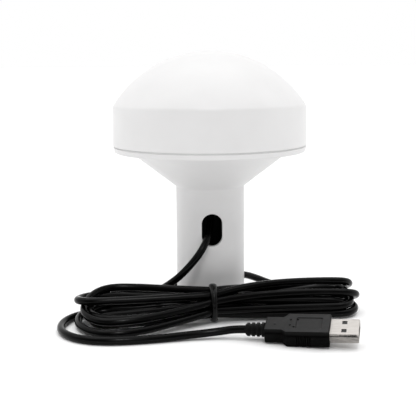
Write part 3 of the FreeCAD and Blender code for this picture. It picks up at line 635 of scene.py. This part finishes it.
# Half turns in their order along the cord. side: +1 right, -1 left. ends: places in the tie where
# it starts and ends. middle and radius: its fold in plan. heights: of the first leg, the fold's tip
# and the second leg. back_first: the first leg is the one behind. fans: how soon each leg spreads.
HALF_TURNS = [
    dict(side=1, ends=(None, outer_place(124)), middle=(58.3, -17.8), radius=9.0,
         heights=(7.8, 11.8, 16.1), back_first=True, fans=(1.5, 3.0)),
    dict(side=-1, ends=(outer_place(124), core_place(95)), middle=(-55.0, -33.0), radius=9.0,
         heights=(12.0, 10.4, 9.4), back_first=False, fans=(1.3, 1.6)),
    dict(side=1, ends=(core_place(95), outer_place(83)), middle=(54.5, -25.5), radius=9.2,
         heights=(8.8, 6.8, 10.0), back_first=False, fans=(1.6, 1.6)),
    dict(side=-1, ends=(outer_place(83), outer_place(162)), middle=(-43.5, -38.5), radius=17.5,
         heights=(12.0, 7.8, 6.3), back_first=True, fans=(1.7, 1.35)),
    dict(side=1, ends=(outer_place(162), core_place(215)), middle=(58.6, -22.8), radius=9.6,
         heights=(11.4, 6.2, 3.6), back_first=False, fans=(2.2, 1.6)),
    dict(side=-1, ends=(core_place(215), outer_place(355)), middle=(-42.0, -34.5), radius=17.0,
         heights=(6.5, 8.0, 11.0), back_first=False, fans=(1.5, 2.4)),
    dict(side=1, ends=(outer_place(355), outer_place(209)), middle=(57.0, -27.2), radius=9.6,
         heights=(8.6, 7.0, 6.0), back_first=True, fans=(1.5, 1.8)),
    dict(side=-1, ends=(outer_place(209), outer_place(40)), middle=(-42.4, -40.0), radius=21.0,
         heights=(2.2, 2.4, 3.4), back_first=False, fans=(1.25, 3.4)),
    dict(side=1, ends=(outer_place(40), outer_place(256)), middle=(58.4, -27.7), radius=9.6,
         heights=(2.4, 2.8, 2.6), back_first=True, fans=(1.5, 1.6)),
    dict(side=-1, ends=(outer_place(256), core_place(335)), middle=(-50.0, -38.0), radius=7.0,
         heights=(1.9, 1.9, 2.2), back_first=False, fans=(1.5, 1.5)),
    dict(side=1, ends=(core_place(335), outer_place(306)), middle=(51.0, -21.5), radius=9.5,
         heights=(1.9, 1.9, 1.9), back_first=True, fans=(1.5, 1.5)),
]
LEG_SHARES = (0.14, 0.34, 0.57, 0.82)
FOLD_ANGLES = (-72, -43, -14.5, 14.5, 43, 72)


def half_turn(side, ends, middle, radius, heights, back_first, fans):
    """Control points of one half turn: out from the tie, round the fold and back to it."""
    way = 1 if back_first else -1
    across, depth = middle
    first, tip, second = heights
    spread = radius / math.cos(math.radians(14.4))      # a control point lies outside its curve

    def leg(end, sign, height, fan, share):
        eased = 1 - (1 - share) ** fan
        goal_depth = depth + sign * way * radius
        return Vector((end.x + (across - end.x) * share,
                       end.y + (goal_depth - end.y) * eased,
                       end.z + (height - end.z) * eased))

    points = []
    if ends[0] is not None:
        points += [leg(ends[0], 1, first, fans[0], share) for share in LEG_SHARES]
    for degrees in FOLD_ANGLES:
        a = math.radians(degrees)
        height = (first + second) / 2 - (first - second) / 2 * math.sin(a)
        height += (tip - (first + second) / 2) * math.cos(a)
        points.append(Vector((across + side * spread * math.cos(a),
                              depth - way * spread * math.sin(a), height)))
    points += [leg(ends[1], -1, second, fans[1], share) for share in reversed(LEG_SHARES)]
    return points + [ends[1]]


SAMPLES = 4             # samples of the line for each control point


def line_from_points(count):
    """Matrix that turns control points into evenly spread samples of their quadratic spline."""
    matrix = np.zeros(((count - 2) * SAMPLES, count))
    for i in range(count - 2):
        for k in range(SAMPLES):
            t = k / SAMPLES
            matrix[i * SAMPLES + k, i:i + 3] = (0.5 * (1 - t) ** 2, 0.5 + t - t * t, 0.5 * t * t)
    return matrix


ROUNDS = 240            # steps of settling
HOLD_TIED, HOLD_LOOSE = 0.25, 0.02      # pull of each step towards where a point was laid
BEND_SHARE = 0.10       # how firmly the line keeps its laid bends
PUSH_SHARE, PUSH_LIMIT = 1.6, 1.2
FLOOR_GAP, NECK_GAP = 0.2, 0.4


def settle(points, free, tied):
    """Push strands that lie in each other apart to a diameter, above the floor, round the neck."""
    points, home = points.copy(), points.copy()
    matrix = line_from_points(len(points))
    weight = matrix.sum(0)[:, None]
    order = np.arange(len(matrix))
    apart = np.abs(order[:, None] - order[None]) > SAMPLES * 2
    hold = np.where(tied, HOLD_TIED, HOLD_LOOSE)[:, None]
    floor = CORD / 2 + FLOOR_GAP
    clear_of_neck = NECK_RADIUS + CORD / 2 + NECK_GAP
    bend_home = np.zeros_like(points)
    bend_home[1:-1] = (home[:-2] + home[2:]) / 2 - home[1:-1]
    for _ in range(ROUNDS):
        samples = matrix @ points
        between = samples[:, None] - samples[None]
        distance = np.sqrt((between ** 2).sum(2)) + 1e-9
        share = np.where((distance < CORD) & apart, (CORD - distance) / distance * 0.5, 0)
        push = (between * share[..., None]).sum(1)
        push[:, 2] += np.maximum(floor - samples[:, 2], 0)
        radius = np.hypot(samples[:, 0], samples[:, 1])
        near = (radius < clear_of_neck) & (samples[:, 2] < 30)
        push[near, :2] += samples[near, :2] / radius[near, None] * (clear_of_neck - radius[near, None])
        size = np.linalg.norm(push, axis=1)[:, None]
        push *= np.minimum(1, PUSH_LIMIT / np.maximum(size, 1e-9))
        bend = np.zeros_like(points)
        bend[1:-1] = (points[:-2] + points[2:]) / 2 - points[1:-1]
        step = (matrix.T @ push) / weight * PUSH_SHARE
        step += BEND_SHARE * (bend - bend_home)
        step += hold * (home - points)
        points[free] += step[free]
    return points


LOOSE_LEAD, LOOSE_TAIL = 3, 6       # route points beside the hank that may settle with it


def cord_points():
    """All control points of the cord, from the grommet to the plug's strain relief."""
    points = [Vector(p) for p in LEAD_ROUTE]
    free = [False] * (len(points) - LOOSE_LEAD) + [True] * LOOSE_LEAD
    tied = [False] * len(points)
    for turn in HALF_TURNS:
        fresh = half_turn(**turn)
        points += fresh
        free += [True] * len(fresh)
        tied += [False] * (len(fresh) - 1) + [True]
    tail = [Vector(p) for p in LEAVING_ROUTE + TAIL_ROUTE] + [relief_rear()]
    points += tail
    free += [True] * LOOSE_TAIL + [False] * (len(tail) - LOOSE_TAIL)
    tied += [False] * len(tail)
    return settle(np.array([tuple(p) for p in points]), np.array(free), np.array(tied))


def cord():
    curve = bpy.data.curves.new("cord", "CURVE")
    curve.dimensions = "3D"
    curve.bevel_depth = CORD / 2 * MM
    curve.bevel_resolution = 6
    curve.use_fill_caps = True
    points = cord_points()
    spline = curve.splines.new("NURBS")
    spline.points.add(len(points) - 1)
    for point, spot in zip(spline.points, points):
        point.co = (*(Vector(spot) * MM), 1.0)
    spline.order_u = 3
    spline.use_endpoint_u = True
    spline.resolution_u = 8
    curve.materials.append(looks["cord_jacket"])
    piece = bpy.data.objects.new("cord", curve)
    scene.collection.objects.link(piece)
    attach(piece, "root")
    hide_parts("cord_lead", "cord_hank", "cord_tail")
    return piece


# ---------------------------------------------------------------- tie round the hank

TIE_INNER_DEPTH, TIE_INNER_HEIGHT = 6.4, 6.95
TIE_THICK, TIE_WIDTH = 2.1, 2.6
TIE_SHIFT, TIE_TURN, TIE_LEAN = -0.3, 2.0, -1.0     # the band stands a little askew
TIE_SWELL = 0.5         # how much wider it is at its top and bottom bends
TWIST_RADIUS, TWIST_WIRE, TWIST_TURNS = 0.75, 0.72, 2.5


def tube_along(bm, path, radii, steps=16, closed=False):
    """A tube of oval section along a path; radii gives each point's two half widths."""
    count = len(path)
    rings = []
    side = Vector((1, 0, 0))
    for i, spot in enumerate(path):
        if closed:
            ahead = path[(i + 1) % count] - path[i - 1]
        else:
            ahead = path[min(i + 1, count - 1)] - path[max(i - 1, 0)]
        ahead.normalize()
        side = (side - ahead * side.dot(ahead)).normalized()
        up = ahead.cross(side)
        wide, thick = radii(i)
        rings.append([bm.verts.new(spot + side * wide * math.cos(a) + up * thick * math.sin(a))
                      for a in (2 * math.pi * k / steps for k in range(steps))])
    bands(bm, rings, closed=closed)
    if not closed:
        bm.faces.new(rings[0])
        bm.faces.new(rings[-1])


def tie():
    """A rubber-coated tie: a band round the waist, its ends twisted together at the back."""
    bm = bmesh.new()
    count = 96
    path = []
    for i in range(count):
        a = 2 * math.pi * i / count
        path.append(Vector((0, (TIE_INNER_DEPTH + TIE_THICK / 2) * math.cos(a),
                            (TIE_INNER_HEIGHT + TIE_THICK / 2) * math.sin(a))))

    def radii(i):
        swell = abs(math.sin(2 * math.pi * i / count)) ** 6
        return TIE_WIDTH / 2 * (1 + TIE_SWELL * swell), TIE_THICK / 2

    tube_along(bm, path, radii, closed=True)
    twist_steps = 40
    for phase in (0, math.pi):
        strand = []
        for i in range(twist_steps + 1):
            t = i / twist_steps
            a = phase + t * TWIST_TURNS * 2 * math.pi
            middle = Vector((0.6 + 7.5 * t, TIE_INNER_DEPTH + TIE_THICK + 0.2 + 1.3 * t, 2.0 - 3.4 * t))
            strand.append(middle + TWIST_RADIUS * Vector((0.15 * math.cos(a), math.cos(a), math.sin(a))))
        tube_along(bm, strand, lambda i: (TWIST_WIRE, TWIST_WIRE), steps=12)
    place = Matrix.Translation((TIE_SPOT + Vector((TIE_SHIFT, 0, 0))) * MM)
    place = place @ Matrix.Rotation(math.radians(TIE_TURN), 4, "Z")
    place = place @ Matrix.Rotation(math.radians(TIE_LEAN), 4, "Y")
    return mesh_piece("twist_tie", bm, "tie_rubber", ["hank_tie"], place=place, sharp=60)


# ---------------------------------------------------------------- USB plug

PLUG_SPOT = Vector((47.4, -75.0, 6.45))     # middle of the moulding's front face
PLUG_YAW, PLUG_NOSE_UP, PLUG_ROLL = -16.4, 2.8, 16.6
MOULD_WIDTH, MOULD_THICK, MOULD_LONG, MOULD_TAPER, MOULD_TOTAL = 15.1, 7.4, 18.0, 2.9, 28.3
HEEL_WIDTH, HEEL_THICK = 10.6, 6.7
MOULD_CORNER, FRONT_ROUND, HEEL_ROUND = 0.6, 0.55, 0.6
SHELL_WIDTH, SHELL_THICK, SHELL_WALL, SHELL_OUT, SHELL_IN = 12.0, 4.5, 0.3, 12.2, 6.0
SHELL_CORNER, SHELL_INNER_CORNER, SHELL_FIT = 0.4, 0.35, 0.06
RELIEF_LENGTH, RELIEF_CORE, RELIEF_RADIUS, RELIEF_PITCH = 8.7, 2.5, 3.25, 2.2
COLLARS, COLLAR_WIDE, COLLAR_ROUND, COLLAR_TAPER = 4, 1.4, 0.35, 0.1


def plug_turn():
    turn = Matrix.Rotation(math.radians(PLUG_YAW), 4, "Z")
    turn = turn @ Matrix.Rotation(math.radians(-PLUG_NOSE_UP), 4, "Y")
    return turn @ Matrix.Rotation(math.radians(PLUG_ROLL), 4, "X")


PLUG_PLACE = Matrix.Translation(PLUG_SPOT * MM) @ plug_turn()


def relief_rear():
    """Middle of the strain relief's rear face, where the cord ends."""
    return PLUG_SPOT + plug_turn() @ Vector((-MOULD_TOTAL - RELIEF_LENGTH, 0, 0))


def ease(share):
    share = min(max(share, 0.0), 1.0)
    return share * share * (3 - 2 * share)


def stations(ranges):
    """Values from the first range's start: each range gives its end and its step."""
    values = [ranges[0][0]]
    for low, high, step in ranges:
        count = max(1, round(abs(high - low) / step))
        values += [low + (high - low) * i / count for i in range(1, count + 1)]
    return values


PANEL_MIDDLE, PANEL_HALF_LONG, PANEL_HALF_WIDE = -9.1, 5.6, 4.4
PANEL_CORNER, PANEL_DEPTH, PANEL_EDGE = 0.9, 0.28, 0.22
GRIP_FIRST, GRIP_PITCH, GRIP_COUNT, GRIP_DEPTH = -13.8, 0.93, 7, 0.45
DIMPLES = [(-17.2, 2.4), (-17.2, -1.6), (-15.4, -2.9), (-14.2, 2.9)]
DIMPLE_RADIUS, DIMPLE_DEPTH = 0.5, 0.9
PIP, PIP_RADIUS, PIP_HEIGHT = (-23.9, -0.3), 0.45, 0.18     # a small moulding pip on the heel


def panel_sink(x, y):
    """Depth of the plain recessed panel at a spot of the flat faces."""
    dx = max(abs(x - PANEL_MIDDLE) - (PANEL_HALF_LONG - PANEL_CORNER), 0)
    dy = max(abs(y) - (PANEL_HALF_WIDE - PANEL_CORNER), 0)
    return PANEL_DEPTH * ease((PANEL_CORNER - math.hypot(dx, dy)) / PANEL_EDGE)


def dimple_sink(x, y):
    """Depth of the dimples on the top face, less the height of the pip."""
    sink = 0.0
    for middle_x, middle_y in DIMPLES:
        away = math.hypot(x - middle_x, y - middle_y) / DIMPLE_RADIUS
        if away < 1:
            sink = max(sink, DIMPLE_DEPTH * ease(1.6 * (1 - away)))
    return sink - PIP_HEIGHT * ease(1.5 - math.hypot(x - PIP[0], y - PIP[1]) / PIP_RADIUS)


def grip_sink(x):
    """Depth of the fine grip grooves across the narrow sides."""
    along = (x - GRIP_FIRST) / GRIP_PITCH
    if not -0.5 < along < GRIP_COUNT - 0.5:
        return 0.0
    return GRIP_DEPTH * ease(1 - abs(along - round(along)) / 0.3)


def section(bm, x, width, thick, corner, columns, sink_flat=None, sink_side=0.0, arc_steps=4):
    """A rounded rectangle at x, as a ring of vertices."""
    flat_half, side_half = width / 2 - corner, thick / 2 - corner
    points = []
    for way in (1, -1):
        for share in columns:
            y = way * share * flat_half
            sink = sink_flat(x, y, way) if sink_flat else 0.0
            points.append((y, way * (thick / 2 - sink)))
        for step in range(arc_steps + 1):
            a = math.radians(90 - 90 * step / arc_steps)
            y = flat_half + corner * math.cos(a) - sink_side * math.cos(a) ** 2
            points.append((way * y, way * (side_half + corner * math.sin(a))))
        for share in (0.5, 0.0, -0.5):
            points.append((way * (width / 2 - sink_side), way * share * side_half))
        for step in range(arc_steps + 1):
            a = math.radians(-90 * step / arc_steps)
            y = flat_half + corner * math.cos(a) - sink_side * math.cos(a) ** 2
            points.append((way * y, way * (side_half + corner * math.sin(a))))
    return [bm.verts.new((x, y, z)) for y, z in points]


def plug_moulding():
    bm = bmesh.new()
    fine = 0.16
    columns = [v / 100 for v in range(-97, 98, 2)]
    corner = MOULD_CORNER

    def widths(x):
        share = ease((-MOULD_LONG - x) / MOULD_TAPER)
        return (MOULD_WIDTH + (HEEL_WIDTH - MOULD_WIDTH) * share,
                MOULD_THICK + (HEEL_THICK - MOULD_THICK) * share)

    def sink_flat(x, y, way):
        return panel_sink(x, y) + (dimple_sink(x, y) if way > 0 else 0.0)

    rings = []
    for degrees in (90, 67.5, 45, 22.5):
        a = math.radians(degrees)
        x = -FRONT_ROUND * (1 - math.sin(a))
        inset = 2 * FRONT_ROUND * (1 - math.cos(a))
        rings.append(section(bm, x, MOULD_WIDTH - inset, MOULD_THICK - inset, corner - inset / 4, columns))
    plan = stations([(-FRONT_ROUND, -3.2, 0.5), (-3.2, -18.0, fine), (-18.0, -21.2, 0.22),
                     (-21.2, -22.8, 0.5), (-22.8, -24.8, 0.2), (-24.8, -27.7, 0.6)])
    for x in plan:
        wide, thick = widths(x)
        rings.append(section(bm, x, wide, thick, corner, columns, sink_flat, grip_sink(x)))
    for degrees in (22.5, 45, 67.5, 90):
        a = math.radians(degrees)
        x = -MOULD_TOTAL + HEEL_ROUND * (1 - math.sin(a))
        inset = 2 * HEEL_ROUND * (1 - math.cos(a))
        rings.append(section(bm, x, HEEL_WIDTH - inset, HEEL_THICK - inset, corner - inset / 4, columns))
    bands(bm, rings)
    bm.faces.new(section_cap(bm, rings[-1]))
    seat_size = (SHELL_WIDTH + SHELL_FIT, SHELL_THICK + SHELL_FIT, MOULD_CORNER, columns)
    seat = section(bm, 0.0, *seat_size)
    pocket = section(bm, -SHELL_IN, *seat_size)
    bands(bm, [rings[0], seat, pocket])
    bm.faces.new(section_cap(bm, pocket))
    return mesh_piece("plug_moulding", bm, "plug_moulding", ["plug_body"], place=PLUG_PLACE, sharp=40)


def section_cap(bm, rim):
    """A smaller copy of a rim, joined to it, for a flat face without long triangles."""
    inner = [bm.verts.new((v.co.x, v.co.y * 0.8, v.co.z * 0.8)) for v in rim]
    band(bm, rim, inner)
    return inner


WINDOW_LONG, WINDOW_WIDE, WINDOW_MIDDLE, WINDOW_SIDE = 2.2, 2.5, 5.9, 3.1


def plug_shell():
    """Folded nickel-plated shell: rolled nose, two pairs of latch windows and a seam below."""
    bm = bmesh.new()
    columns = [v / 10 for v in range(-10, 11)]
    width, thick = SHELL_WIDTH, SHELL_THICK
    nose, back = SHELL_OUT, -SHELL_IN
    rings = [section(bm, back, width, thick, SHELL_CORNER, columns)]
    for x in stations([(back, nose - 0.7, 1.0)])[1:]:
        rings.append(section(bm, x, width, thick, SHELL_CORNER, columns))
    rings.append(section(bm, nose - 0.1, width - 0.16, thick - 0.16, SHELL_CORNER, columns))
    rings.append(section(bm, nose, width - 0.34, thick - 0.34, SHELL_CORNER, columns))
    inner_width, inner_thick = width - 2 * SHELL_WALL, thick - 2 * SHELL_WALL
    rolled = (inner_width - 0.1, inner_thick - 0.1)
    rings.append(section(bm, nose - 0.04, *rolled, SHELL_INNER_CORNER, columns))
    rings.append(section(bm, nose - 0.5, inner_width, inner_thick, SHELL_INNER_CORNER, columns))
    rings.append(section(bm, back, inner_width, inner_thick, SHELL_INNER_CORNER, columns))
    bands(bm, rings, closed=True)
    pip = Matrix.Translation((1.7, 0.3, thick / 2)) @ Matrix.Diagonal((0.42, 0.36, 0.16, 1.0))
    bmesh.ops.create_uvsphere(bm, u_segments=20, v_segments=12, radius=1.0, matrix=pip)
    piece = mesh_piece("plug_shell_folded", bm, "plug_nickel", ["plug_shell"], place=PLUG_PLACE, sharp=35)
    cuts = bmesh.new()
    for side in (-1, 1):
        for level in (-1, 1):
            window = Matrix.Translation((WINDOW_MIDDLE, side * WINDOW_SIDE, level * thick / 2))
            window = window @ Matrix.Diagonal((WINDOW_LONG, WINDOW_WIDE, 1.0, 1.0))
            bmesh.ops.create_cube(cuts, size=1.0, matrix=window)
    seam = Matrix.Translation((nose / 2, 0, -thick / 2)) @ Matrix.Diagonal((nose + 1.0, 0.1, 0.16, 1.0))
    bmesh.ops.create_cube(cuts, size=1.0, matrix=seam)
    combine(piece, cuts, "DIFFERENCE", PLUG_PLACE @ Matrix.Scale(MM, 4))
    piece.data.set_sharp_from_angle(angle=math.radians(35))
    return piece


def relief():
    """Ribbed strain relief: four rounded collars on a slimmer core."""
    bm = bmesh.new()
    steps = 48
    profile = [(RELIEF_CORE, 0.0)]
    for i in range(COLLARS):
        start = 0.2 + i * RELIEF_PITCH
        end = start + COLLAR_WIDE
        middle = RELIEF_RADIUS - COLLAR_TAPER * i - COLLAR_ROUND
        profile += [(RELIEF_CORE, start)]
        profile += list(arc((middle, start + COLLAR_ROUND), COLLAR_ROUND, -90, 0, 3))
        profile += list(arc((middle, end - COLLAR_ROUND), COLLAR_ROUND, 0, 90, 3))
        profile += [(RELIEF_CORE, end)]
    profile += [(RELIEF_CORE, RELIEF_LENGTH - 0.3), (RELIEF_CORE - 0.3, RELIEF_LENGTH)]
    rings = [ring(bm, r, z, steps) for r, z in profile]
    bands(bm, rings)
    cap(bm, rings[0], 0.0)
    cap(bm, rings[-1], RELIEF_LENGTH)
    lay = Matrix.Translation((-MOULD_TOTAL * MM, 0, 0)) @ Matrix.Rotation(math.radians(-90), 4, "Y")
    # The moulding's material paints the collars' up-facing band a lighter grey: painted top light.
    return mesh_piece("plug_strain_relief", bm, "plug_moulding", ["plug_relief"],
                      place=PLUG_PLACE @ lay, sharp=40)


# ---------------------------------------------------------------- stage

def plain(name, level, rough):
    look = Look(name)
    grey = srgb(level)
    look.colours(look.noise(180.0), (grey * 0.995,) * 3, (grey,) * 3)
    look.roughness(look.noise(40.0), rough, rough + 0.05)
    return look.sockets(Specular_IOR_Level=0.2)


# The key light, a low fill, wide overhead light, then the ceiling panels that show on the dome:
# degrees to the right, degrees to the front, strength and angular size.
LAMPS = [
    (0, 38, 0.6, 10),
    (0, 64, 0.3, 30),
    (0, -6, 0.9, 60),
    (-27, 6, 0.10, 17),
    (-43, -7, 0.10, 17),
    (26, 9, 0.12, 17),
    (41, -10, 0.10, 17),
]
ROOM = (-0.95, 0.12, 0.05, 1.0)     # the direction's Y, from and to, and the brightness at each


def studio():
    bm = bmesh.new()
    bmesh.ops.create_circle(bm, cap_ends=True, radius=30.0, segments=96)
    mesh = bpy.data.meshes.new("floor")
    bm.to_mesh(mesh)
    bm.free()
    mesh.materials.append(plain("floor_white", 0.975, 0.8))
    floor = bpy.data.objects.new("floor", mesh)
    scene.collection.objects.link(floor)

    studio_world()
    for right, front, strength, size in LAMPS:
        light = bpy.data.lights.new("ceiling", "SUN")
        light.energy = strength
        light.angle = math.radians(size)
        lamp = bpy.data.objects.new("ceiling", light)
        lamp.location = (0, 0, 1)
        lamp.rotation_euler = (math.radians(front), math.radians(right), 0)
        scene.collection.objects.link(lamp)


def studio_world():
    """White walls that darken towards the viewer's side of the room."""
    world = bpy.data.worlds.new("studio")
    world.use_nodes = True
    tree = world.node_tree
    direction = tree.nodes.new("ShaderNodeTexCoord")
    axes = tree.nodes.new("ShaderNodeSeparateXYZ")
    level = tree.nodes.new("ShaderNodeMapRange")
    for socket, value in zip(("From Min", "From Max", "To Min", "To Max"), ROOM):
        level.inputs[socket].default_value = value
    tree.links.new(direction.outputs["Generated"], axes.inputs["Vector"])
    tree.links.new(axes.outputs["Y"], level.inputs["Value"])
    tree.links.new(level.outputs["Result"], tree.nodes["Background"].inputs["Strength"])
    tree.nodes["Background"].inputs["Color"].default_value = (1, 1, 1, 1)
    scene.world = world


CAMERA_SPOT = (-22.55, -423.5, 119.6)
CAMERA_TURN, CAMERA_DOWN, CAMERA_ROLL = -2.9, 9.586, -0.435
CAMERA_LENS = 73.79


def camera():
    data = bpy.data.cameras.new("camera")
    data.lens = CAMERA_LENS
    data.sensor_width = 36.0
    data.clip_start, data.clip_end = 0.01, 100.0
    piece = bpy.data.objects.new("camera", data)
    turn = Matrix.Rotation(math.radians(CAMERA_TURN), 4, "Z")
    turn = turn @ Matrix.Rotation(math.radians(90 - CAMERA_DOWN), 4, "X")
    turn = turn @ Matrix.Rotation(math.radians(CAMERA_ROLL), 4, "Z")
    piece.matrix_world = Matrix.Translation(Vector(CAMERA_SPOT) * MM) @ turn
    scene.collection.objects.link(piece)
    scene.camera = piece


# ---------------------------------------------------------------- build

finish_cad_nodes()
radome()
housing()
liner()
gasket()
tie_piece = tie()
moulding_piece = plug_moulding()
shell_piece = plug_shell()
relief_piece = relief()
cord_piece = cord()
studio()
camera()
scene.view_settings.view_transform = "Standard"
